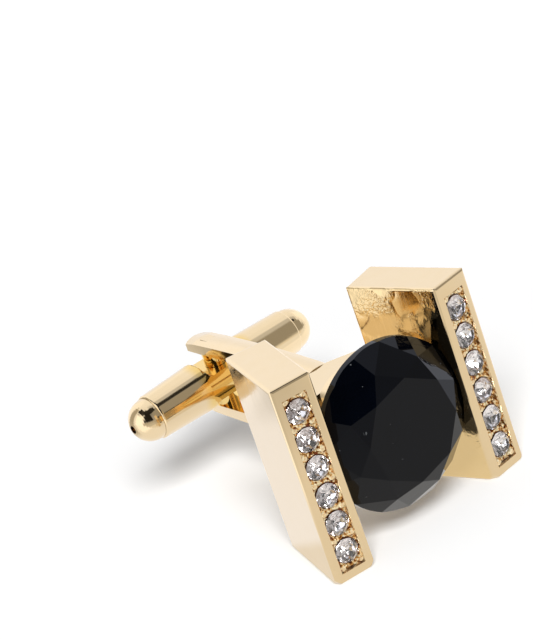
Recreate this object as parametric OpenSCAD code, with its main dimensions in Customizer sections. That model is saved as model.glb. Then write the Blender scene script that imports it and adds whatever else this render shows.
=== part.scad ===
// A cufflink. Two plain rectangular bars, splayed so that they lean together
// towards the back, grip a large round brilliant-cut stone at its edge. The
// front face of each bar carries a channel with six small crystals held by
// beads. A gabled bridge joins the bars behind the stone, and a forked post on
// the bridge carries a toggle that swings on a pin.
// The cufflink stands on the lower ends of its bars. X runs across the pair of
// bars, Y runs from the stone back to the toggle, Z runs up the bars. The
// origin is at the middle of the footprint, on the surface it stands on.

/* [Bars] */
// length of a bar
bar_length = 17.1; // [16.5:0.1:20]
// width of the front face that carries the crystals
bar_width = 3.58; // [3.2:0.02:5]
// depth of a bar from front to back along its inner side
bar_depth = 8.62; // [8.3:0.02:9.3]
// clear distance between the front inner edges of the bars
bar_gap = 12.76; // [12.4:0.02:13.2]
// lean of each bar away from straight back, degrees
splay = 15.3; // [13:0.1:16]
// turn of the front face of a bar out of square with its sides, degrees
front_turn = 7.5; // [0:0.1:10]
// rounding of the long edges of a bar
edge_r = 0.26; // [0.05:0.01:0.35]
// rounding of the lower corners of the front face
foot_corner_r = 0.9; // [0.4:0.02:1]
// rounding of the upper corners of the front face
top_corner_r = 0.38; // [0.36:0.02:0.6]

/* [Crystal rows] */
// width of the channel cut in the front face
channel_width = 2.15; // [1.9:0.05:2.3]
// depth of the channel
channel_depth = 0.35; // [0.2:0.01:0.5]
// plain metal left above the channel
channel_top = 1.2; // [0.8:0.02:1.3]
// plain metal left below the channel
channel_foot = 0.76; // [0.5:0.02:0.9]
// distance from crystal to crystal
crystal_pitch = 2.45; // [2.2:0.01:2.46]
// height of the middle of the row above the middle of the bar
row_shift = -0.17; // [-0.2:0.01:0]
// radius of a crystal at its widest
crystal_r = 1.02; // [0.8:0.01:1.04]
// height of a crystal above its widest line
crystal_crown = 0.35; // [0.25:0.01:0.45]
// depth of the pointed back of a crystal
crystal_back = 0.9; // [0.6:0.01:1.1]
// radius of the small beads that hold the crystals
bead_r = 0.33; // [0.2:0.01:0.34]

/* [Stone] */
// radius of the stone at its widest
stone_r = 6.81; // [6.5:0.01:6.95]
// radius of the corners of the eight-sided table
table_r = 4.25; // [3.6:0.01:4.4]
// radius of the points of the star facets
star_r = 5.49; // [5.3:0.01:5.6]
// turn of the facets about the middle of the stone, degrees
stone_turn = 35.8; // [0:0.1:45]
// height from the widest line to the table
crown_h = 2.3; // [1.6:0.02:2.5]
// thickness of the plain edge
edge_t = 0.7; // [0.3:0.02:0.9]
// distance of the table in front of the bars
table_out = 1.06; // [0.7:0.02:1.2]
// depth of the cone behind the edge
cone_h = 3.18; // [2.8:0.02:3.3]
// radius of the small flat on the back of the stone
culet_r = 2.2; // [1.6:0.05:2.4]

/* [Bridge and cup] */
// height of the bridge along the bars
bridge_h = 6.6; // [5:0.1:8]
// front face of the bridge behind the front edges of the bars
bridge_front = 5.85; // [5.8:0.01:6.1]
// flat back face of the bridge behind the front edges of the bars
bridge_back = 9.5; // [9.2:0.02:9.8]
// half width of the flat in the middle of the back
gable_flat = 1.12; // [1.06:0.01:1.6]
// outer radius of the cup that backs the stone
cup_r = 4.2; // [3.9:0.05:4.4]
// front rim of the cup behind the front edges of the bars
cup_front = 3.9; // [3.7:0.05:4.4]

/* [Post] */
// width of the forked post
post_width = 2.1; // [1.9:0.02:2.6]
// greatest radius of the domed outer faces of the arms
post_r = 3.57; // [3.4:0.01:3.8]
// half of the clear height between the arms
slot_half = 2.42; // [2.36:0.01:2.6]
// bottom of the slot between the arms
slot_start = 11; // [10.4:0.05:11.8]
// axis of the pin behind the front edges of the bars
pin_y = 24.1; // [23.4:0.05:24.8]
// radius of the round tips of the arms about the pin
tip_r = 2.2; // [1.6:0.05:2.4]
// radius of the bosses inside the arms
boss_r = 0.95; // [0.85:0.01:1.1]

/* [Toggle] */
// radius of the toggle at its middle
toggle_r = 2.12; // [1.9:0.01:2.2]
// radius of the toggle at its ends
toggle_end_r = 1.95; // [1.8:0.01:2.1]
// half length of the toggle body
toggle_half = 7.35; // [6.6:0.05:8]
// half length of the flattened middle
waist_half = 2.05; // [1.8:0.01:2.2]
// half thickness of the flattened middle
waist_flat = 1.15; // [1.1:0.01:1.3]
// radius of the round caps
cap_r = 1.8; // [1.6:0.01:1.85]
// radius of the long bore that takes the plugs of the caps
bore_r = 1.45; // [1.3:0.01:1.5]
// radius of the pivot pin
pin_r = 0.45; // [0.4:0.01:0.46]
// side of the square head of the pin
pin_head = 0.9; // [0.86:0.01:1.1]
// thickness of the spring strip
spring_t = 0.1; // [0.06:0.01:0.12]

/* [Hidden] */
// gap between pieces soldered or pressed together
fit = 0.01;
// gap round a set stone or crystal
set_gap = 0.02;
// gap round the pin in the turning toggle
run_gap = 0.03;
girdle_y = crown_h - table_out;
edge_back = girdle_y + edge_t;
culet_y = edge_back + cone_h;
post_root = bridge_back + fit;
post_end = pin_y + tip_r;
slot_round = slot_start + slot_half;
mid_y = (post_end - table_out) / 2;
crystal_count = 6;
crystal_edge = 0.06;
// depth of the widest line of a crystal below the front face
crystal_sink = channel_depth - 0.19;
pin_top = post_r - 0.15;
// thickness of a bar square to its sides
bar_thick = bar_width * cos(front_turn);
metal = "khaki";
clear_crystal = "aliceblue";

module in_frame() {
    translate([0, -mid_y, bar_length / 2])
        children();
}

// turns a shape drawn along Z so that it runs back along Y
module along_y() {
    rotate([-90, 0, 0])
        children();
}

// turns a shape drawn along Z so that it runs along X
module along_x() {
    rotate([0, 90, 0])
        children();
}

// turns a shape drawn along Z so that its top looks out of the front
module facing_front() {
    rotate([90, 0, 0])
        children();
}

// places a shape drawn in the frame of the right bar, or mirrors it to the left
module on_bar(side) {
    mirror([side < 0 ? 1 : 0, 0, 0])
        translate([bar_gap / 2, 0, 0])
            rotate([0, 0, splay])
                children();
}

// places a shape drawn square to the front face, from its inner edge outwards
module on_front(side) {
    on_bar(side)
        rotate([0, 0, -front_turn])
            children();
}

// block from zero to the given sizes, its four edges along Z rounded
module rounded_prism(x, y, z, r) {
    translate([r, 0, 0])
        cube([x - 2 * r, y, z]);
    translate([0, r, 0])
        cube([x, y - 2 * r, z]);
    for (cx = [r, x - r], cy = [r, y - r])
        translate([cx, cy, 0])
            cylinder(h = z, r = r, $fn = 24);
}

// what the polishing takes off a corner of the front face, fading out behind it
module corner_off(r) {
    fade = 1.1 * r;
    slope = r * (sqrt(2) - 1) / fade;
    difference() {
        translate([-1, -1, -1])
            cube([1 + r, 1 + fade, 1 + r]);
        translate([r, -1.2 * r, r])
            along_y()
                cylinder(h = fade + 1.7 * r, r1 = r - 1.2 * r * slope,
                    r2 = r + (fade + 0.5 * r) * slope, $fn = 48);
    }
}

// outline of a bar seen from above, its corners rounded
module bar_plan() {
    function arc(x, y, from, to) = [for (i = [0:6]) let (a = from + (to - from) * i / 6)
        [x + edge_r * cos(a), y + edge_r * sin(a)]];
    inner_y = edge_r * (1 - sin(front_turn)) / cos(front_turn);
    outer_y = inner_y - (bar_thick - 2 * edge_r) * tan(front_turn);
    polygon(concat(arc(edge_r, inner_y, 180, 270 - front_turn),
        arc(bar_thick - edge_r, outer_y, 270 - front_turn, 360),
        arc(bar_thick - edge_r, bar_depth - edge_r, 0, 90),
        arc(edge_r, bar_depth - edge_r, 90, 180)));
}

module bar_block() {
    reach = bar_thick * tan(front_turn);
    translate([0, 0, -bar_length / 2])
        difference() {
            intersection() {
                linear_extrude(bar_length)
                    bar_plan();
                translate([0, bar_depth, 0])
                    rotate([90, 0, 0])
                        rounded_prism(bar_thick, bar_length, bar_depth + 2, edge_r);
                translate([0, -2, 0])
                    rotate([90, 0, 90])
                        rounded_prism(bar_depth + 2, bar_length, bar_thick, edge_r);
                rotate([0, 0, -front_turn])
                    translate([-2, 0, 0])
                        rotate([90, 0, 90])
                            rounded_prism(bar_depth + 2, bar_length, bar_width + 4, edge_r);
            }
            for (right = [0, 1], top = [0, 1])
                translate([right * bar_thick, -right * reach, top * bar_length])
                    mirror([right, 0, 0])
                        mirror([0, 0, top])
                            corner_off(top > 0 ? top_corner_r : foot_corner_r);
        }
}

module channel_cut() {
    translate([(bar_width - channel_width) / 2, -1, channel_foot - bar_length / 2])
        cube([channel_width, 1 + channel_depth, bar_length - channel_foot - channel_top]);
}

// runs from the culet of a crystal to its table, widest line at zero
module crystal_shape(gap) {
    table = crystal_r * 0.56;
    translate([0, 0, -crystal_edge - crystal_back - gap])
        cylinder(h = crystal_back + gap, r1 = 0.12, r2 = crystal_r + gap, $fn = 16);
    translate([0, 0, -crystal_edge])
        cylinder(h = crystal_edge, r = crystal_r + gap, $fn = 16);
    cylinder(h = crystal_crown, r1 = crystal_r + gap, r2 = table + gap, $fn = 16);
}

function crystal_z(place) = crystal_pitch * ((crystal_count + 1) / 2 - place) + row_shift;

module on_crystal(side, place) {
    on_front(side)
        translate([bar_width / 2, crystal_sink, crystal_z(place)])
            facing_front()
                children();
}

// eight crown facets round a flat table, and an eight-sided pointed back
module crystal(side, place) {
    table = crystal_r * 0.56;
    crown_slope = crystal_crown / (crystal_r - table);
    spread = 0.2;
    on_crystal(side, place)
        intersection() {
            union() {
                cylinder(h = crystal_crown + fit, r1 = crystal_r + spread,
                    r2 = table - (fit - spread * crown_slope) / crown_slope, $fn = 8);
                translate([0, 0, -crystal_edge])
                    cylinder(h = crystal_edge, r = crystal_r + spread, $fn = 8);
                translate([0, 0, -crystal_edge - crystal_back])
                    cylinder(h = crystal_back, r1 = 0.1, r2 = crystal_r + 0.02, $fn = 8);
            }
            translate([0, 0, -crystal_edge - crystal_back])
                cylinder(h = crystal_edge + crystal_back + crystal_crown, r = crystal_r, $fn = 32);
        }
}

module beads() {
    top = bar_length / 2 - channel_top - 0.26;
    foot = channel_foot + 0.32 - bar_length / 2;
    between = [for (k = [-2:2]) k * crystal_pitch + row_shift];
    rows = concat([foot], between, [top]);
    for (row = rows, way = [-1, 1])
        translate([bar_width / 2 + way * 0.82, channel_depth, row])
            sphere(r = bead_r, $fn = 16);
}

// tongue of the bridge, drawn in the frame of a bar
module tongue(gap) {
    translate([-0.5, 6.7 - gap, -1.6 - gap])
        cube([1.2 + gap, 1.2 + 2 * gap, 3.2 + 2 * gap]);
}

// room for the stone in the inner faces of the bars, drawn about Z
module stone_room() {
    star_y = girdle_y - crown_h * (stone_r - star_r * cos(22.5)) / (stone_r - table_r);
    rotate_extrude($fn = 128)
        polygon([[0, -table_out - set_gap], [table_r, -table_out - set_gap],
            [star_r + set_gap, star_y - set_gap], [stone_r + set_gap, girdle_y - set_gap],
            [stone_r + set_gap, edge_back + set_gap], [culet_r + set_gap, culet_y + set_gap],
            [0, culet_y + set_gap]]);
}

module bar(side) {
    difference() {
        on_bar(side)
            difference() {
                bar_block();
                tongue(fit);
            }
        on_front(side)
            channel_cut();
        along_y()
            stone_room();
        for (place = [1:crystal_count])
            on_crystal(side, place)
                crystal_shape(set_gap);
    }
    on_front(side)
        difference() {
            beads();
            for (place = [1:crystal_count])
                translate([bar_width / 2, crystal_sink, crystal_z(place)])
                    facing_front()
                        crystal_shape(set_gap);
        }
}

module left_bar() {
    color(metal)
        bar(-1);
}

module right_bar() {
    color(metal)
        bar(1);
}

module bridge() {
    // inner face of a bar at a given depth, with the solder gap
    front_x = bar_gap / 2 - bridge_front * tan(splay) - fit / cos(splay);
    end_y = bar_depth * cos(splay) - edge_r;
    back_x = bar_gap / 2 - end_y * tan(splay) - fit / cos(splay);
    color(metal)
        difference() {
            union() {
                translate([0, 0, -bridge_h / 2])
                    linear_extrude(bridge_h)
                        polygon([[-front_x, bridge_front], [front_x, bridge_front],
                            [back_x, end_y], [gable_flat, bridge_back],
                            [-gable_flat, bridge_back], [-back_x, end_y]]);
                for (side = [-1, 1])
                    on_bar(side)
                        tongue(0);
            }
            translate([0, bridge_back - 1.52, 0])
                along_y()
                    cylinder(h = 2, r = 0.9 + fit, $fn = 48);
        }
}

// collar that takes the cone of the stone on a slope and the small flat on its floor
module stone_cup() {
    slope = (stone_r - culet_r) / cone_h;
    rim_r = stone_r - slope * (cup_front - edge_back) + fit;
    color(metal)
        along_y()
            rotate_extrude($fn = 96)
                polygon([[0, culet_y + fit], [culet_r + fit, culet_y + fit], [rim_r, cup_front],
                    [cup_r, cup_front], [cup_r, bridge_front - fit], [0, bridge_front - fit]]);
}

// crown with a table, eight stars, eight kites and sixteen small edge facets;
// drawn about Z with the tips of the kites at zero and the table above
module crown() {
    kite_r = stone_r - 0.04;
    over_r = stone_r * 1.15;
    star_h = crown_h * (kite_r - star_r * cos(22.5)) / (kite_r - table_r);
    slope = star_h / ((kite_r - star_r) * cos(11.25));
    over_h = -slope * cos(11.25) * (over_r - kite_r);
    low = -edge_t - cone_h - 1;
    table = [for (k = [0:7]) [table_r * cos(45 * k), table_r * sin(45 * k), crown_h]];
    stars = [for (k = [0:7]) [star_r * cos(45 * k + 22.5), star_r * sin(45 * k + 22.5), star_h]];
    tips = [for (k = [0:7]) [kite_r * cos(45 * k), kite_r * sin(45 * k), 0]];
    over = [for (k = [0:15]) [over_r * cos(22.5 * k), over_r * sin(22.5 * k), over_h]];
    floor = [for (k = [0:15]) [over_r * cos(22.5 * k), over_r * sin(22.5 * k), low]];
    table_face = [[for (k = [7:-1:0]) k]];
    star_faces = [for (k = [0:7]) [k, (k + 1) % 8, 8 + k]];
    kite_faces = [for (k = [0:7]) [k, 8 + k, 16 + k, 8 + (k + 7) % 8]];
    edge_right = [for (k = [0:7]) [16 + k, 8 + k, 24 + (2 * k + 1) % 16, 24 + 2 * k]];
    edge_left = [for (k = [0:7]) [8 + k, 16 + (k + 1) % 8, 24 + (2 * k + 2) % 16, 24 + 2 * k + 1]];
    wall = [for (k = [0:15]) [24 + k, 24 + (k + 1) % 16, 40 + (k + 1) % 16, 40 + k]];
    base = [[for (k = [0:15]) 40 + k]];
    polyhedron(points = concat(table, stars, tips, over, floor),
        faces = concat(table_face, star_faces, kite_faces, edge_right, edge_left, wall, base),
        convexity = 4);
}

module stone() {
    color("darkslategray")
        translate([0, girdle_y, 0])
            facing_front()
                rotate([0, 0, stone_turn])
                    intersection() {
                        crown();
                        rotate_extrude($fn = 96)
                            polygon([[0, -edge_t - cone_h], [culet_r, -edge_t - cone_h],
                                [stone_r, -edge_t], [stone_r, crown_h + 1], [0, crown_h + 1]]);
                    }
}

module left_crystal_1() {
    color(clear_crystal)
        crystal(-1, 1);
}

module left_crystal_2() {
    color(clear_crystal)
        crystal(-1, 2);
}

module left_crystal_3() {
    color(clear_crystal)
        crystal(-1, 3);
}

module left_crystal_4() {
    color(clear_crystal)
        crystal(-1, 4);
}

module left_crystal_5() {
    color(clear_crystal)
        crystal(-1, 5);
}

module left_crystal_6() {
    color(clear_crystal)
        crystal(-1, 6);
}

module right_crystal_1() {
    color(clear_crystal)
        crystal(1, 1);
}

module right_crystal_2() {
    color(clear_crystal)
        crystal(1, 2);
}

module right_crystal_3() {
    color(clear_crystal)
        crystal(1, 3);
}

module right_crystal_4() {
    color(clear_crystal)
        crystal(1, 4);
}

module right_crystal_5() {
    color(clear_crystal)
        crystal(1, 5);
}

module right_crystal_6() {
    color(clear_crystal)
        crystal(1, 6);
}

// domed outline of the arms, revolved about the post
module post_outline() {
    steps = 14;
    kink = pin_y + 0.9;
    function dome(y) = post_r - pow(y - 17.2, 2) / 330;
    arc = [for (i = [0:steps]) let (y = post_root + (kink - post_root) * i / steps) [dome(y), y]];
    along_y()
        rotate_extrude($fn = 96)
            polygon(concat([[0, post_root]], arc, [[dome(kink) - 0.2, post_end], [0, post_end]]));
}

module post_fork() {
    color(metal) {
        difference() {
            union() {
                difference() {
                    intersection() {
                        post_outline();
                        union() {
                            translate([-post_width / 2, post_root, -5])
                                cube([post_width, pin_y - post_root, 10]);
                            intersection() {
                                translate([0, pin_y, -5])
                                    cylinder(h = 10, r = tip_r, $fn = 64);
                                translate([-post_width / 2, pin_y - 1, -5])
                                    cube([post_width, tip_r + 2, 10]);
                            }
                        }
                    }
                    translate([-2, slot_round, -slot_half])
                        cube([4, post_end - slot_round + 1, 2 * slot_half]);
                    translate([-2, slot_round, 0])
                        along_x()
                            cylinder(h = 4, r = slot_half, $fn = 64);
                }
                for (way = [-1, 1])
                    mirror([0, 0, way < 0 ? 1 : 0])
                        translate([0, pin_y, waist_flat + run_gap])
                            cylinder(h = slot_half - waist_flat, r = boss_r, $fn = 48);
            }
            translate([-pin_head / 2 - fit, pin_y - pin_head / 2 - fit, 0])
                cube([pin_head + 2 * fit, pin_head + 2 * fit, 5]);
            translate([0, pin_y, -5])
                cylinder(h = 6, r = pin_r + fit, $fn = 48);
        }
        translate([0, bridge_back - 1.5, 0])
            along_y()
                cylinder(h = 1.6, r = 0.9, $fn = 48);
    }
}

// square head in the upper arm, round shank, and a square cam in the middle
module pivot_pin() {
    cam = pin_r * sqrt(2);
    color("darkkhaki")
        translate([0, pin_y, 0]) {
            translate([-pin_head / 2, -pin_head / 2, waist_flat + run_gap + fit])
                cube([pin_head, pin_head, pin_top - waist_flat - run_gap - fit]);
            difference() {
                translate([0, 0, -pin_top])
                    cylinder(h = pin_top + waist_flat + run_gap + 2 * fit, r = pin_r, $fn = 48);
                for (turn = [0:90:270])
                    rotate([0, 0, turn])
                        translate([cam / 2, -1, -0.6])
                            cube([1, 2, 1.2]);
            }
        }
}

// half of the toggle from the shoulder of the waist to its end, revolved
module toggle_half_shape() {
    round_in = 0.28;
    round_out = 0.2;
    inner = [for (i = [0:6]) [toggle_r - round_in + round_in * sin(15 * i),
        waist_half + round_in - round_in * cos(15 * i)]];
    outer = [for (i = [0:6]) [toggle_end_r - round_out + round_out * cos(15 * i),
        toggle_half - round_out + round_out * sin(15 * i)]];
    rotate_extrude($fn = 72)
        polygon(concat([[0, waist_half]], inner, outer, [[0, toggle_half]]));
}

// flattened middle, full round at the front and back, flat above and below
module waist() {
    root = 0.45;
    intersection() {
        translate([-waist_half - 0.3, 0, 0])
            along_x()
                cylinder(h = 2 * waist_half + 0.6, r = toggle_r, $fn = 72);
        difference() {
            translate([-3, -3, -waist_flat - root])
                cube([6, 6, 2 * (waist_flat + root)]);
            for (side = [0, 1])
                mirror([0, 0, side]) {
                    translate([root - waist_half, -3, waist_flat])
                        cube([2 * (waist_half - root), 6, 2]);
                    translate([-waist_half, -3, waist_flat + root])
                        cube([2 * waist_half, 6, 2]);
                    for (way = [-1, 1])
                        translate([way * (waist_half - root), -3, waist_flat + root])
                            along_y()
                                cylinder(h = 6, r = root, $fn = 32);
                }
        }
    }
}

module toggle_body() {
    color(metal)
        translate([0, pin_y, 0])
            difference() {
                union() {
                    for (side = [0, 1])
                        mirror([side, 0, 0])
                            along_x()
                                toggle_half_shape();
                    waist();
                }
                translate([-5, 0, 0])
                    along_x()
                        cylinder(h = 10, r = 0.85, $fn = 48);
                for (side = [0, 1])
                    mirror([side, 0, 0])
                        translate([3.2, 0, 0])
                            along_x()
                                cylinder(h = 5, r = bore_r, $fn = 64);
                translate([0, 0, -2])
                    cylinder(h = 4, r = pin_r + run_gap, $fn = 48);
            }
}

// domed end with a plug and a small blind hole in its tip
module cap(side) {
    back = toggle_half + fit;
    plug_r = bore_r - fit;
    centre = toggle_half + 0.18;
    first = asin((back - centre) / cap_r);
    color(metal)
        mirror([side < 0 ? 1 : 0, 0, 0])
            translate([0, pin_y, 0])
                along_x()
                    difference() {
                        rotate_extrude($fn = 64)
                            polygon(concat([[0, toggle_half - 2.3], [plug_r, toggle_half - 2.3],
                                [plug_r, back]],
                                [for (i = [0:16]) let (a = first + (90 - first) * i / 16)
                                    [cap_r * cos(a), centre + cap_r * sin(a)]]));
                        translate([0, 0, centre + cap_r - 0.8])
                            cylinder(h = 1, r = 0.35, $fn = 32);
                    }
}

module left_cap() {
    cap(-1);
}

module right_cap() {
    cap(1);
}

// bowed strip that bears on the cam of the pin, its ends against the bore
module toggle_spring() {
    half_length = 2.8;
    // nearest face of the strip behind the pin, and its set-back at the ends
    near = pin_r + 0.05;
    bow = 0.16;
    bend_r = (half_length * half_length + bow * bow) / (2 * bow);
    color("darkgray")
        translate([0, pin_y, 0])
            intersection() {
                translate([0, near + bend_r, -0.3])
                    difference() {
                        cylinder(h = 0.6, r = bend_r, $fn = 360);
                        translate([0, 0, -1])
                            cylinder(h = 3, r = bend_r - spring_t, $fn = 360);
                    }
                translate([-half_length, 0, -1])
                    cube([2 * half_length, 1, 2]);
            }
}

in_frame() left_bar();
in_frame() right_bar();
in_frame() bridge();
in_frame() stone_cup();
in_frame() stone();
in_frame() left_crystal_1();
in_frame() left_crystal_2();
in_frame() left_crystal_3();
in_frame() left_crystal_4();
in_frame() left_crystal_5();
in_frame() left_crystal_6();
in_frame() right_crystal_1();
in_frame() right_crystal_2();
in_frame() right_crystal_3();
in_frame() right_crystal_4();
in_frame() right_crystal_5();
in_frame() right_crystal_6();
in_frame() post_fork();
in_frame() pivot_pin();
in_frame() toggle_body();
in_frame() left_cap();
in_frame() right_cap();
in_frame() toggle_spring();
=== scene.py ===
import bpy
import bmesh
from math import cos, pi, radians, sin
from random import Random
from mathutils import Matrix, Vector


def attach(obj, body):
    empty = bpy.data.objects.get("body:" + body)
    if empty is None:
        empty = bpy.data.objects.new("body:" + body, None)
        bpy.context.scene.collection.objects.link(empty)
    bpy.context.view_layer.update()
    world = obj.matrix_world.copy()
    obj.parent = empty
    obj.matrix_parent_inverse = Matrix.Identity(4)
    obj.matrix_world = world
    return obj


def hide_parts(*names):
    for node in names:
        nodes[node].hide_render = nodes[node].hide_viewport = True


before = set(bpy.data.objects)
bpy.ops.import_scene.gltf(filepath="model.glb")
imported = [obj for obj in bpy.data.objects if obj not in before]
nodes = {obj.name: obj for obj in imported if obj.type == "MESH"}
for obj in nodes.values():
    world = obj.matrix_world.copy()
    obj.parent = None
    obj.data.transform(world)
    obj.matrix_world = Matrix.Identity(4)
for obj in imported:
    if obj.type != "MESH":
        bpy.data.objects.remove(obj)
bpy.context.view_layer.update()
mm = 0.001

# The camera. It looks down on the left side of the cufflink through a long
# lens, from a quarter of a metre away.
camera_at = Vector((-113.907, -192.101, 112.190)) * mm
camera_right = Vector((0.746736, -0.591334, -0.304481))
camera_down = Vector((-0.474965, -0.153626, -0.866491))
camera_ahead = Vector((0.465610, 0.791658, -0.395581))
camera_data = bpy.data.cameras.new("camera")
camera_data.lens = 210.741
camera_data.sensor_width = 36
camera_data.sensor_fit = "HORIZONTAL"
camera_data.clip_start = 0.01
camera = bpy.data.objects.new("camera", camera_data)
bpy.context.scene.collection.objects.link(camera)
turn = Matrix((camera_right, -camera_down, -camera_ahead)).transposed()
camera.matrix_world = Matrix.Translation(camera_at) @ turn.to_4x4()
bpy.context.scene.camera = camera
bpy.context.scene.view_settings.view_transform = "Standard"

# The room that the polished metal and the stone mirror. Its walls are white,
# with brighter screens to the left, to the right and behind, duller places
# between them, and a dark place round and above the camera.
cool, warm = (1.0, 1.03, 1.14), (1.0, 0.97, 0.93)
wall_light = 1.07
# Each row is one field of it, and a later one covers an earlier one: from and
# to round the room, from and to in height, half the width of its soft edge,
# all in degrees, then how bright it is and its tone. Round the room, 0 is out
# of the front, and the right is plus.
room_fields = (
    (-66, 64, -60, -4, 6, 0.93, warm),
    (-114, -70, -20, 43, 4, 1.45, cool),
    (48, 142, -48, 42, 6, 1.06, cool),
    (80, 142, -48, 42, 8, 1.32, cool),
    (34, 80, 44, 80, 6, 0.68, cool),
    (118, 190, 10, 80, 9, 1.12, cool),
    (-190, -158, 10, 80, 9, 1.12, cool),
    (150, 190, 24, 60, 5, 1.22, cool),
    (168, 190, -20, 60, 6, 1.25, cool),
    (-190, -160, -20, 60, 8, 1.25, cool),
    (-160, -128, -18, 55, 4, 0.5, warm),
    (-68, 4, -11, 12, 4, 0.6, warm),
    (-4, 61, -5, 49, 4, 0.38, warm),
    (-128, 50, 48, 74, 2, 0.03, warm),
    (-63, -6, 11, 60, 5, 0.02, warm))


def feed(tree, socket, value):
    """Gives a socket the output of a node, or else a number or a colour."""
    if isinstance(value, bpy.types.NodeSocket):
        tree.links.new(value, socket)
    else:
        socket.default_value = (*value, 1) if isinstance(value, tuple) else value


def arithmetic(tree, operation, *values):
    """Works out one number from numbers and sockets."""
    node = tree.nodes.new("ShaderNodeMath")
    node.operation = operation
    for socket, value in zip(node.inputs, values):
        feed(tree, socket, value)
    return node.outputs[0]


def stretch(tree, value, low, high, first=0, last=1, curve="LINEAR"):
    """Takes what runs from low to high to what runs from first to last."""
    node = tree.nodes.new("ShaderNodeMapRange")
    node.interpolation_type = curve
    tree.links.new(value, node.inputs["Value"])
    limits = {"From Min": low, "From Max": high, "To Min": first, "To Max": last}
    for socket, limit in limits.items():
        node.inputs[socket].default_value = limit
    return node.outputs["Result"]


def rise(tree, value, middle, soft, falling=False):
    """Goes from 0 to 1, or back, where the value passes the middle, over twice soft."""
    first, last = (1, 0) if falling else (0, 1)
    return stretch(tree, value, middle - soft, middle + soft, first, last, "SMOOTHSTEP")


def within(tree, value, low, high, soft):
    """Is 1 from low to high and 0 outside, with soft ends."""
    return arithmetic(tree, "MULTIPLY", rise(tree, value, low, soft),
                      rise(tree, value, high, soft, True))


def blend(tree, share, first, second):
    """Mixes two colours; the share is that of the second."""
    node = tree.nodes.new("ShaderNodeMix")
    node.data_type = "RGBA"
    # the sockets of this node that take and give colours
    for place, value in ((0, share), (6, first), (7, second)):
        feed(tree, node.inputs[place], value)
    return node.outputs[2]


def new_group(name, inputs, outputs):
    """Starts a shader node group; gives it, what it is given and what it makes."""
    group = bpy.data.node_groups.new(name, "ShaderNodeTree")
    for in_out, sockets in (("INPUT", inputs), ("OUTPUT", outputs)):
        for socket, kind in sockets.items():
            group.interface.new_socket(socket, in_out=in_out, socket_type=kind)
    given = group.nodes.new("NodeGroupInput").outputs
    made = group.nodes.new("NodeGroupOutput").inputs
    return group, given, made


def split_place(tree, place):
    """Gives the x, y and z of a place."""
    node = tree.nodes.new("ShaderNodeSeparateXYZ")
    tree.links.new(place, node.inputs["Vector"])
    return node.outputs


def room_group():
    """The light that comes from each way in the room."""
    group, given, made = new_group("room", {"Way": "NodeSocketVector"},
                                   {"Light": "NodeSocketColor"})
    unit = group.nodes.new("ShaderNodeVectorMath")
    unit.operation = "NORMALIZE"
    group.links.new(given["Way"], unit.inputs[0])
    x, y, z = split_place(group, unit.outputs["Vector"])
    forward = arithmetic(group, "MULTIPLY", y, -1)
    turned = arithmetic(group, "ARCTAN2", x, forward)
    raised = arithmetic(group, "ARCSINE", z)
    around = arithmetic(group, "MULTIPLY", turned, 180 / pi)
    above = arithmetic(group, "MULTIPLY", raised, 180 / pi)
    light = tuple(wall_light * part for part in cool)
    for left, right, low, high, soft, strength, tone in room_fields:
        field = arithmetic(group, "MULTIPLY", within(group, around, left, right, soft),
                           within(group, above, low, high, soft))
        light = blend(group, field, light, tuple(strength * part for part in tone))
    group.links.new(light, made["Light"])
    return group


def placed_group(tree, group):
    node = tree.nodes.new("ShaderNodeGroup")
    node.node_tree = group
    return node


def blend_shaders(tree, share, first, second):
    node = tree.nodes.new("ShaderNodeMixShader")
    for socket, value in zip(node.inputs, (share, first, second)):
        tree.links.new(value, socket)
    return node.outputs[0]


# matt surfaces get an even light from it, and the camera sees plain white
even_light = (0.27, 0.27, 0.27)
room = room_group()
world = bpy.data.worlds.new("white_room")
bpy.context.scene.world = world
world.use_nodes = True
tree = world.node_tree
tree.nodes.clear()
path = tree.nodes.new("ShaderNodeLightPath").outputs
way = tree.nodes.new("ShaderNodeTexCoord").outputs["Generated"]
walls = placed_group(tree, room)
tree.links.new(way, walls.inputs["Way"])
sky = tree.nodes.new("ShaderNodeBackground")
sky_light = blend(tree, path["Is Diffuse Ray"], walls.outputs["Light"], even_light)
tree.links.new(sky_light, sky.inputs["Color"])
white = tree.nodes.new("ShaderNodeBackground")
white.inputs["Color"].default_value = (1, 1, 1, 1)
all_round = blend_shaders(tree, path["Is Camera Ray"], sky.outputs[0], white.outputs[0])
tree.links.new(all_round, tree.nodes.new("ShaderNodeOutputWorld").inputs["Surface"])

# The table top. A wide sheet of matt white board, laid flat, that takes the
# shadow of the cufflink and runs off into the white of the room.
table_radius, table_white = 3, (0.84, 0.84, 0.838, 1)
near_by, far_away = 0.03, 0.63
glow_near, glow_far = 0.12, 1.65
mirrored_share, mirrored_from = 0.85, 8 * mm


def new_material(name):
    """Starts a material; gives it, its nodes and the socket of its surface."""
    material = bpy.data.materials.new(name)
    material.use_nodes = True
    tree = material.node_tree
    tree.nodes.clear()
    return material, tree, tree.nodes.new("ShaderNodeOutputMaterial").inputs["Surface"]


def object_place(tree):
    return tree.nodes.new("ShaderNodeTexCoord").outputs["Object"]


def finished_piece(name, bm, material):
    mesh = bpy.data.meshes.new(name)
    bm.to_mesh(mesh)
    bm.free()
    piece = bpy.data.objects.new(name, mesh)
    bpy.context.scene.collection.objects.link(piece)
    mesh.materials.append(material)
    return piece


bm = bmesh.new()
bmesh.ops.create_circle(bm, cap_ends=True, segments=96, radius=table_radius)
table_top, tree, surface = new_material("table_top")
path = tree.nodes.new("ShaderNodeLightPath").outputs
place = object_place(tree)
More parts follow.
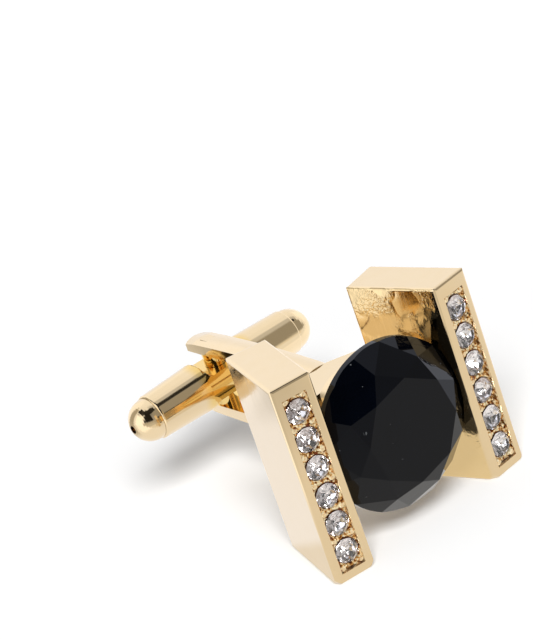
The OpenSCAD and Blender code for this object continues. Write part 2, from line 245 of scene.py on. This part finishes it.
# seen by the camera or through a crystal it glows, and the more so the
# farther off it is, so that it runs into the white room without an edge
far_off = tree.nodes.new("ShaderNodeVectorMath")
far_off.operation = "LENGTH"
tree.links.new(place, far_off.inputs[0])
brighter = stretch(tree, far_off.outputs["Value"], near_by, far_away, glow_near, glow_far)
seen = arithmetic(tree, "MAXIMUM", path["Is Camera Ray"], path["Is Transmission Ray"])
glow = tree.nodes.new("ShaderNodeEmission")
tree.links.new(arithmetic(tree, "MULTIPLY", seen, brighter), glow.inputs["Strength"])
matt = tree.nodes.new("ShaderNodeBsdfDiffuse")
matt.inputs["Color"].default_value = table_white
both = tree.nodes.new("ShaderNodeAddShader")
tree.links.new(matt.outputs[0], both.inputs[0])
tree.links.new(glow.outputs[0], both.inputs[1])
# mirrored in metal it glows with the light of the room, mostly the lower part as
# that looks from half the height of the cufflink: a painted reflection
below = tree.nodes.new("ShaderNodeVectorMath")
below.operation = "SUBTRACT"
below.inputs[1].default_value = (0, 0, mirrored_from)
tree.links.new(place, below.inputs[0])
walls = placed_group(tree, room)
tree.links.new(below.outputs["Vector"], walls.inputs["Way"])
mirrored = tree.nodes.new("ShaderNodeEmission")
tree.links.new(walls.outputs["Light"], mirrored.inputs["Color"])
share = arithmetic(tree, "MULTIPLY", path["Is Glossy Ray"], mirrored_share)
tree.links.new(blend_shaders(tree, share, both.outputs[0], mirrored.outputs[0]), surface)
finished_piece("table", bm, table_top)

# The soft box. A lamp behind a wide white cloth, high up on the left and in
# front of the cufflink, and itself not mirrored in the metal.
box_light = bpy.data.lights.new("soft_box", "AREA")
box_light.shape = "RECTANGLE"
box_light.size = 0.46
box_light.size_y = 0.36
box_light.energy = 11.3
soft_box = bpy.data.objects.new("soft_box", box_light)
bpy.context.scene.collection.objects.link(soft_box)
soft_box.visible_glossy = False
box_at = Vector((-0.33, -0.62, 0.71))
turn = box_at.to_track_quat("Z", "Y").to_matrix()
soft_box.matrix_world = Matrix.Translation(box_at) @ turn.to_4x4()

# The two bars. Cast brass, ground flat, edges broken by hand, and plated with
# pale gold. The plating is a little satin on the flats. The stone is gripped
# between them, and the bridge is soldered into their inner sides.
pure_gold, worn_gold = (0.795, 0.615, 0.36, 1), (0.81, 0.64, 0.405, 1)
# a redder gold: where gold faces gold, a painted reflection of it; on the toggle a little of it
# all over deepens its own tone
painted_reflection_gold = (0.82, 0.57, 0.20)
ripple_scale, haze_scale = 380, 900
hair_lays = (((0.3, 0.2, 0.9), 5200), ((1.2, 0.7, 0.1), 6100), ((0.5, 1.3, 2.2), 4400))
hair_length, hair_from, hair_full = 60, 0.62, 0.74
least_haze, most_haze, hair_roughness = 0.05, 0.13, 0.08
polish_depth = 0.02 * mm


def noise(tree, place, scale, detail=2):
    """A cloudy pattern."""
    node = tree.nodes.new("ShaderNodeTexNoise")
    node.inputs["Scale"].default_value = scale
    node.inputs["Detail"].default_value = detail
    tree.links.new(place, node.inputs["Vector"])
    return node.outputs["Fac"]


def gilding_group():
    """The colour, roughness and height of polished gold plate."""
    group, given, made = new_group(
        "gilding",
        {"Ripple": "NodeSocketFloat", "Scratches": "NodeSocketFloat", "Deep": "NodeSocketFloat",
         "Pure": "NodeSocketColor", "Worn": "NodeSocketColor"},
        {"Color": "NodeSocketColor", "Roughness": "NodeSocketFloat", "Height": "NodeSocketFloat"})
    place = object_place(group)
    # slow ripple of the polishing wheel
    ripple = noise(group, place, ripple_scale, 1.5)
    # fine hairlines in three directions
    lines = 0
    for turn, fineness in hair_lays:
        lay = group.nodes.new("ShaderNodeMapping")
        lay.inputs["Rotation"].default_value = turn
        lay.inputs["Scale"].default_value = (hair_length, fineness, hair_length)
        group.links.new(place, lay.inputs["Vector"])
        hairs = stretch(group, noise(group, lay.outputs["Vector"], 1), hair_from, hair_full)
        lines = arithmetic(group, "MAXIMUM", lines, hairs)
    # cloudy satin haze
    cloud = noise(group, place, haze_scale, 3)
    haze = stretch(group, cloud, 0, 1, least_haze, most_haze)
    rough = arithmetic(group, "MULTIPLY_ADD", lines, hair_roughness, haze)
    tone = blend(group, cloud, given["Pure"], given["Worn"])
    wave = arithmetic(group, "MULTIPLY", ripple, given["Ripple"])
    cut = arithmetic(group, "MULTIPLY", lines, given["Scratches"])
    # Deep mixes in the redder gold, a painted reflection where gold faces gold
    group.links.new(blend(group, given["Deep"], tone, painted_reflection_gold), made["Color"])
    group.links.new(rough, made["Roughness"])
    group.links.new(arithmetic(group, "SUBTRACT", wave, cut), made["Height"])
    return group


gilding = gilding_group()


def one_shader(name, settings):
    """Starts a material of one shader, with all that is the same all over it."""
    material, tree, surface = new_material(name)
    shader = tree.nodes.new("ShaderNodeBsdfPrincipled")
    for socket, value in settings.items():
        shader.inputs[socket].default_value = value
    tree.links.new(shader.outputs[0], surface)
    return material, tree, shader


def gilt(name, ripple, scratches, strength):
    """A material of gold plate, and how strongly its ripple and scratches show."""
    material, tree, shader = one_shader(name, {"Metallic": 1})
    coat = placed_group(tree, gilding)
    settings = {"Ripple": ripple, "Scratches": scratches, "Pure": pure_gold, "Worn": worn_gold}
    for socket, value in settings.items():
        coat.inputs[socket].default_value = value
    dent = tree.nodes.new("ShaderNodeBump")
    dent.inputs["Strength"].default_value = strength
    dent.inputs["Distance"].default_value = polish_depth
    tree.links.new(coat.outputs["Color"], shader.inputs["Base Color"])
    tree.links.new(coat.outputs["Roughness"], shader.inputs["Roughness"])
    tree.links.new(coat.outputs["Height"], dent.inputs["Height"])
    tree.links.new(dent.outputs["Normal"], shader.inputs["Normal"])
    return material


def dress(material, *names):
    for name in names:
        mesh = nodes[name].data
        mesh.materials.clear()
        mesh.materials.append(material)


bar_gilt = gilt("bar_gilt", 1.0, 0.15, 0.25)
dress(bar_gilt, "left_bar", "right_bar")

# Where a bar is left as it was cast. The floor and walls of its channel are
# rough and darker in the pits of their lumps, the seats get a painted shade, and
# its inner side is lumpy in patches and gets a painted reflection of other gold.
bar_gap, bar_width, bar_length = 12.76, 3.58, 17.1  # from here on, bare lengths are in mm
channel_width, channel_depth = 2.15, 0.35
channel_foot, channel_head = 0.76, bar_length - 1.2
channel_skin, seat_bottom, channel_play = 0.06, 1.6, 0.03
crystal_pitch, row_shift, seat_radius = 2.45, -0.17, 1.06
side_lean, front_lean = radians(15.3), radians(15.3 - 7.5)
front_to_middle = 12.62
lump_scale, patch_scale = 3600, 420
patch_from, patch_soft = 0.54, 0.07
# the channel's colour by the height of its lumps: in the pits, on the slopes and on the tops
pit_dark, slope_orange, lump_top = (0.16, 0.03, 0.006), (0.80, 0.42, 0.10), (1.0, 0.86, 0.56)
# the colour of the painted shade in the seats round the crystals
seat_painted_shade = (0.10, 0.03, 0.012)
channel_roughness, channel_metal = 0.08, 0.6
# how lumpy the inner side is, and how much painted reflection of facing gold it gets
side_lumps, side_painted_reflection = 0.6, 0.4
cast_depth, cast_strength = 0.16 * mm, 0.7


def cast_group():
    """Where on a bar its channel, the seats in it and its inner side are."""
    group, _, made = new_group("cast_places", {}, {
        "Channel": "NodeSocketFloat", "Seat": "NodeSocketFloat", "Inner": "NodeSocketFloat"})
    x, y, z = split_place(group, object_place(group))
    out_x = arithmetic(group, "SUBTRACT", arithmetic(group, "ABSOLUTE", x), bar_gap / 2 * mm)
    back_y = arithmetic(group, "ADD", y, front_to_middle * mm)

    def along(x_share, y_share):
        return arithmetic(group, "MULTIPLY_ADD", back_y, y_share,
                          arithmetic(group, "MULTIPLY", out_x, x_share))

    # how far a point lies across the front face, behind it and from the inner side
    across = along(cos(front_lean), sin(front_lean))
    depth = along(-sin(front_lean), cos(front_lean))
    from_side = along(cos(side_lean), sin(side_lean))
    edge = (bar_width - channel_width) / 2
    inside = within(group, across, (edge - channel_play) * mm,
                    (edge + channel_width + channel_play) * mm, 0.01 * mm)
    below = arithmetic(group, "MULTIPLY", rise(group, depth, channel_skin * mm, 0.04 * mm),
                       rise(group, depth, seat_bottom * mm, 0.1 * mm, True))
    lengthwise = within(group, z, channel_foot * mm, channel_head * mm, 0.01 * mm)
    crosswise = arithmetic(group, "MULTIPLY", inside, below)
    channel = arithmetic(group, "MULTIPLY", crosswise, lengthwise)
    # how far it lies from the middle of the nearest crystal
    from_row = arithmetic(group, "SUBTRACT", z, (bar_length / 2 + row_shift) * mm)
    steps = arithmetic(group, "DIVIDE", from_row, crystal_pitch * mm)
    beyond = arithmetic(group, "MULTIPLY_ADD", arithmetic(group, "FRACT", steps),
                        crystal_pitch * mm, -crystal_pitch / 2 * mm)
    beside = arithmetic(group, "SUBTRACT", across, bar_width / 2 * mm)
    squared = arithmetic(group, "MULTIPLY_ADD", beside, beside,
                         arithmetic(group, "MULTIPLY", beyond, beyond))
    near_crystal = rise(group, arithmetic(group, "SQRT", squared), seat_radius * mm,
                        0.05 * mm, True)
    inner = arithmetic(group, "MULTIPLY", rise(group, from_side, 0.1 * mm, 0.05 * mm, True),
                       rise(group, depth, 0.3 * mm, 0.2 * mm))
    group.links.new(channel, made["Channel"])
    group.links.new(arithmetic(group, "MULTIPLY", channel, near_crystal), made["Seat"])
    group.links.new(inner, made["Inner"])
    return group


def toned(tree, value, *stops):
    """Colours a value by two or more stops, each a height and a colour."""
    node = tree.nodes.new("ShaderNodeValToRGB")
    steps = node.color_ramp.elements
    for step, (height, tone) in zip(steps, (stops[0], stops[-1])):
        step.position = height
        step.color = (*tone, 1)
    for height, tone in stops[1:-1]:
        steps.new(height).color = (*tone, 1)
    tree.links.new(value, node.inputs["Fac"])
    return node.outputs["Color"]


def leave_cast(material):
    """Mixes the cast places into a material of gold plate."""
    tree = material.node_tree
    shader = next(n for n in tree.nodes if n.type == "BSDF_PRINCIPLED")
    polish = next(n for n in tree.nodes if n.type == "BUMP")
    coat = next(n for n in tree.nodes if n.type == "GROUP")
    channel, seat, inner = placed_group(tree, cast_group()).outputs
    place = object_place(tree)
    lumps, patches = noise(tree, place, lump_scale, 3), noise(tree, place, patch_scale, 1)
    # the channel is coloured by the height of its lumps, dark brown in the pits, orange on the
    # slopes, pale gold on the tops
    lump_tone = toned(tree, lumps, (0.39, pit_dark), (0.47, slope_orange), (0.55, lump_top))
    color = blend(tree, channel, coat.outputs["Color"], lump_tone)
    # painted shade in the seats round the crystals
    color = blend(tree, seat, color, seat_painted_shade)
    rough = arithmetic(tree, "MULTIPLY_ADD", channel, channel_roughness,
                       coat.outputs["Roughness"])
    metal = arithmetic(tree, "MULTIPLY_ADD", channel, channel_metal - 1, 1)
    lumpy = arithmetic(tree, "MULTIPLY", inner, rise(tree, patches, patch_from, patch_soft))
    lumpy_all = arithmetic(tree, "MAXIMUM", channel,
                           arithmetic(tree, "MULTIPLY", lumpy, side_lumps))
    dent = tree.nodes.new("ShaderNodeBump")
    dent.inputs["Strength"].default_value = cast_strength
    dent.inputs["Distance"].default_value = cast_depth
    tree.links.new(color, shader.inputs["Base Color"])
    tree.links.new(rough, shader.inputs["Roughness"])
    tree.links.new(metal, shader.inputs["Metallic"])
    # the inner side is reddened a little: a painted reflection of the gold that faces it
    tree.links.new(arithmetic(tree, "MULTIPLY", inner, side_painted_reflection), coat.inputs["Deep"])
    tree.links.new(arithmetic(tree, "MULTIPLY", lumpy_all, lumps), dent.inputs["Height"])
    tree.links.new(polish.outputs["Normal"], dent.inputs["Normal"])
    tree.links.new(dent.outputs["Normal"], shader.inputs["Normal"])


leave_cast(bar_gilt)

# The bridge, the cup, the forked post and its pin. Cast with the bars' metal,
# soldered together and polished bright. The pin is turned, and pressed into
# the fork.
slot_half, slot_soft = 2.44, 0.02
bridge_end, bridge_soft = -2.6, 0.4
post_gilt = gilt("post_gilt", 0.7, 0.1, 0.2)
dress(post_gilt, "bridge", "stone_cup", "post_fork", "pivot_pin")


def deepen(material, axis, middle, half, soft, low):
    """Reddens gold behind the bridge near the middle of an axis, a painted reflection of the gold
    round it there, and by low elsewhere.
    """
    tree = material.node_tree
    coat = next(n for n in tree.nodes if n.type == "GROUP")
    along = split_place(tree, object_place(tree))
    off = arithmetic(tree, "SUBTRACT", along[axis], middle * mm)
    near = rise(tree, arithmetic(tree, "ABSOLUTE", off), half * mm, soft * mm, True)
    behind = rise(tree, along["Y"], bridge_end * mm, bridge_soft * mm)
    both = arithmetic(tree, "MULTIPLY", near, behind)
    tree.links.new(arithmetic(tree, "MULTIPLY_ADD", both, 1 - low, low), coat.inputs["Deep"])


# between the arms of the fork, behind the bridge, the gold gets a painted reflection of the gold
# round it
deepen(post_gilt, "Z", bar_length / 2, slot_half, slot_soft, 0)

# The stone. Near-black glass, cut with a table, stars, kites and edge facets,
# held by its edge in the grooves of the bars and glued into the cup.
stone_black, stone_blue = (0.0002, 0.0004, 0.0010), (0.0006, 0.0011, 0.0026)
cloud_scale, crack_scale, dust_scale, spread_scale = 300, 260, 1300, 900
stone_marks = (0.10, 0.105, 0.11)
stone_glass, tree, shader = one_shader("stone_glass", {
    "Roughness": 0.01, "Specular IOR Level": 0.185})
place = object_place(tree)
body = blend(tree, noise(tree, place, cloud_scale), stone_black, stone_blue)
# a few hairlines and specks of dust
cracks, dust = tree.nodes.new("ShaderNodeTexVoronoi"), tree.nodes.new("ShaderNodeTexVoronoi")
cracks.feature = "DISTANCE_TO_EDGE"
for pattern, scale in ((cracks, crack_scale), (dust, dust_scale)):
    pattern.inputs["Scale"].default_value = scale
    tree.links.new(place, pattern.inputs["Vector"])
spread = noise(tree, place, spread_scale)
hairs = arithmetic(tree, "MULTIPLY", rise(tree, cracks.outputs["Distance"], 0.010, 0.004, True),
                   rise(tree, spread, 0.70, 0.03))
specks = arithmetic(tree, "MULTIPLY", rise(tree, dust.outputs["Distance"], 0.06, 0.03, True),
                    rise(tree, spread, 0.60, 0.05))
marks = arithmetic(tree, "MAXIMUM", hairs, specks)
tree.links.new(blend(tree, marks, body, stone_marks), shader.inputs["Base Color"])
dress(stone_glass, "stone")

# The twelve crystals. Round brilliants of clear glass with silver foil on the
# back, each ground facet by facet and set in its seat in the channel.
crystal_r, crystal_h, crystal_edge, crystal_back = 0.98, 0.35, 0.06, 0.86
table_r, star_r, star_slope = 0.571, 0.765, 0.445
crystal_sink, crystals_in_row = 0.16, 6
crystal_turn, row_turn = 11, 7
rim_facets, facet_turn = 8, 45
foil_scale, foil_dull, foil_bright = 1500, (0.60, 0.52, 0.49), (1.0, 0.97, 0.965)


def grind(bm, corner, second, third):
    """Grinds one facet through three points, and closes the cut."""
    corner, second, third = Vector(corner), Vector(second), Vector(third)
    facing = (second - corner).cross(third - corner).normalized()
    if facing.dot(corner + Vector((0, 0, 0.3))) < 0:
        facing = -facing
    bmesh.ops.bisect_plane(bm, geom=bm.verts[:] + bm.edges[:] + bm.faces[:], dist=1e-5,
                           plane_co=corner, plane_no=facing, clear_outer=True)
    rim = [e for e in bm.edges if e.is_boundary]
    if rim:
        bmesh.ops.edgeloop_fill(bm, edges=rim)


def at(radius, degrees, height):
    return (radius * cos(radians(degrees)), radius * sin(radians(degrees)), height)


def beside_rim(degrees, height):
    """A point beside the one on the rim, on the line that touches it there."""
    x, y, z = at(crystal_r, degrees, height)
    return (x - sin(radians(degrees)), y + cos(radians(degrees)), z)


def brilliant():
    bm = bmesh.new()
    bmesh.ops.create_cone(bm, cap_ends=True, segments=32, radius1=crystal_r, radius2=crystal_r,
                          depth=crystal_h + crystal_edge + crystal_back)
    bmesh.ops.translate(bm, verts=bm.verts,
                        vec=(0, 0, (crystal_h - crystal_edge - crystal_back) / 2))
    half_turn = facet_turn / 2
    star_h = crystal_h - star_slope * (star_r - table_r * cos(radians(half_turn)))
    point = (0, 0, -crystal_edge - crystal_back)
    # the kites on top and the long facets of the back, then stars and edge facets
    for k in range(rim_facets):
        a = facet_turn * k
        grind(bm, at(crystal_r, a, 0), at(table_r, a, crystal_h), beside_rim(a, 0))
        grind(bm, at(crystal_r, a, -crystal_edge), point, beside_rim(a, -crystal_edge))
    for k in range(rim_facets):
        a = facet_turn * k + half_turn
        grind(bm, at(table_r, a - half_turn, crystal_h), at(table_r, a + half_turn, crystal_h),
              at(star_r, a, star_h))
        for way in (-1, 1):
            grind(bm, at(crystal_r, a, 0), at(crystal_r, a + way * half_turn, 0),
                  at(star_r, a, star_h))
    bmesh.ops.remove_doubles(bm, verts=bm.verts, dist=2e-4)
    bmesh.ops.recalc_face_normals(bm, faces=bm.faces)
    return bm


crystal_glass, tree, shader = one_shader("crystal_glass", {
    "Base Color": (0.98, 0.985, 0.985, 1), "Roughness": 0, "IOR": 1.58,
    "Transmission Weight": 1})

crystal_foil, tree, shader = one_shader("crystal_foil", {"Metallic": 1, "Roughness": 0.1})
foil_spots = noise(tree, object_place(tree), foil_scale)
foil_tone = toned(tree, foil_spots, (0.34, foil_dull), (0.42, foil_bright))
tree.links.new(foil_tone, shader.inputs["Base Color"])


def bar_frame(side):
    """Turns points in the frame of a front face, in millimetres, into that of the model."""
    put = Matrix.Translation((bar_gap / 2, 0, 0)) @ Matrix.Rotation(front_lean, 4, "Z")
    if side < 0:
        put = Matrix.Scale(-1, 4, (1, 0, 0)) @ put
    return Matrix.Scale(mm, 4) @ Matrix.Translation((0, -front_to_middle, bar_length / 2)) @ put


def crystal_up(place):
    """How high a crystal sits from the middle of its bar; place 1 is the top one."""
    return crystal_pitch * ((crystals_in_row + 1) / 2 - place) + row_shift


for side, row in ((-1, "left"), (1, "right")):
    for place in range(1, crystals_in_row + 1):
        bm = brilliant()
        lay = (Matrix.Translation((bar_width / 2, crystal_sink, crystal_up(place)))
               @ Matrix.Rotation(radians(90), 4, "X")
               @ Matrix.Rotation(radians(crystal_turn * place + row_turn * side), 4, "Z"))
        for face in bm.faces:
            if face.normal.z < -0.1:  # the back
                face.material_index = 1
        bmesh.ops.transform(bm, matrix=bar_frame(side) @ lay, verts=bm.verts)
        bmesh.ops.recalc_face_normals(bm, faces=bm.faces)
        crystal = finished_piece(f"{row}_brilliant_{place}", bm, crystal_glass)
        crystal.data.materials.append(crystal_foil)
        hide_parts(f"{row}_crystal_{place}")
        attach(crystal, "head")

# The grains between the crystals. Small lumps of the cast metal, pushed up
# round each seat by the setter and gilt with the bar.
grain_tries, grain_small, grain_large = 1500, 0.09, 0.2
grain_reach, grain_lowest, grain_highest = 0.98, -7.55, 7.1
grain_from_crystal, grain_clear, grain_apart = 1.05, 0.6, 0.8


def clear_of(x, z, others):
    """Is true where a spot lies farther from each other one than that one's reach."""
    return all((x - u) ** 2 + (z - v) ** 2 > reach ** 2 for u, v, reach in others)


for side, row in ((-1, "left"), (1, "right")):
    draw = Random(5 + side)
    bm = bmesh.new()
    laid = []
    for _ in range(grain_tries):
        size = draw.uniform(grain_small, grain_large)
        x = bar_width / 2 + draw.uniform(-grain_reach, grain_reach)
        z = draw.uniform(grain_lowest, grain_highest)
        reach = grain_from_crystal + grain_clear * size
        crystals = [(bar_width / 2, crystal_up(place), reach)
                    for place in range(1, crystals_in_row + 1)]
        grains = [(u, v, grain_apart * (size + other)) for u, v, other in laid]
        if not clear_of(x, z, crystals + grains):
            continue
        laid.append((x, z, size))
        lump = bmesh.ops.create_icosphere(bm, subdivisions=2, radius=size)["verts"]
        bmesh.ops.scale(bm, verts=lump, vec=(1, draw.uniform(0.7, 1.1), draw.uniform(0.8, 1.2)))
        bmesh.ops.rotate(bm, verts=lump, matrix=Matrix.Rotation(draw.uniform(0, pi), 3, "Y"))
        bmesh.ops.translate(bm, verts=lump, vec=(x, channel_depth, z))
    bmesh.ops.transform(bm, matrix=bar_frame(side), verts=bm.verts)
    bmesh.ops.recalc_face_normals(bm, faces=bm.faces)
    for face in bm.faces:
        face.smooth = True
    grain = finished_piece(f"{row}_grain", bm, bar_gilt)
    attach(grain, "head")

# The toggle and its two caps. Turned from the same metal, the caps pressed in,
# and polished brighter than the bars. Its flattened middle is reddened, a painted
# reflection of the fork, and the rest a little for its own deeper tone.
waist_half, waist_soft, round_deep = 2.9, 0.5, 0.12
toggle_gilt = gilt("toggle_gilt", 0.6, 0.1, 0.15)
dress(toggle_gilt, "toggle_body", "left_cap", "right_cap")
# painted reflection of the fork on the waist, and a little deeper tone over the rest
deepen(toggle_gilt, "X", 0, waist_half, waist_soft, round_deep)

# The spring strip inside the toggle. Bowed steel strip, pushed into the bore
# and hidden by the caps.
strip_scale, strip_dark, strip_light = 3000, (0.40, 0.41, 0.43), (0.55, 0.56, 0.57)
spring_steel, tree, shader = one_shader("spring_steel", {"Metallic": 1, "Roughness": 0.3})
strip_grain = noise(tree, object_place(tree), strip_scale)
strip_tone = blend(tree, strip_grain, strip_dark, strip_light)
tree.links.new(strip_tone, shader.inputs["Base Color"])
dress(spring_steel, "toggle_spring")
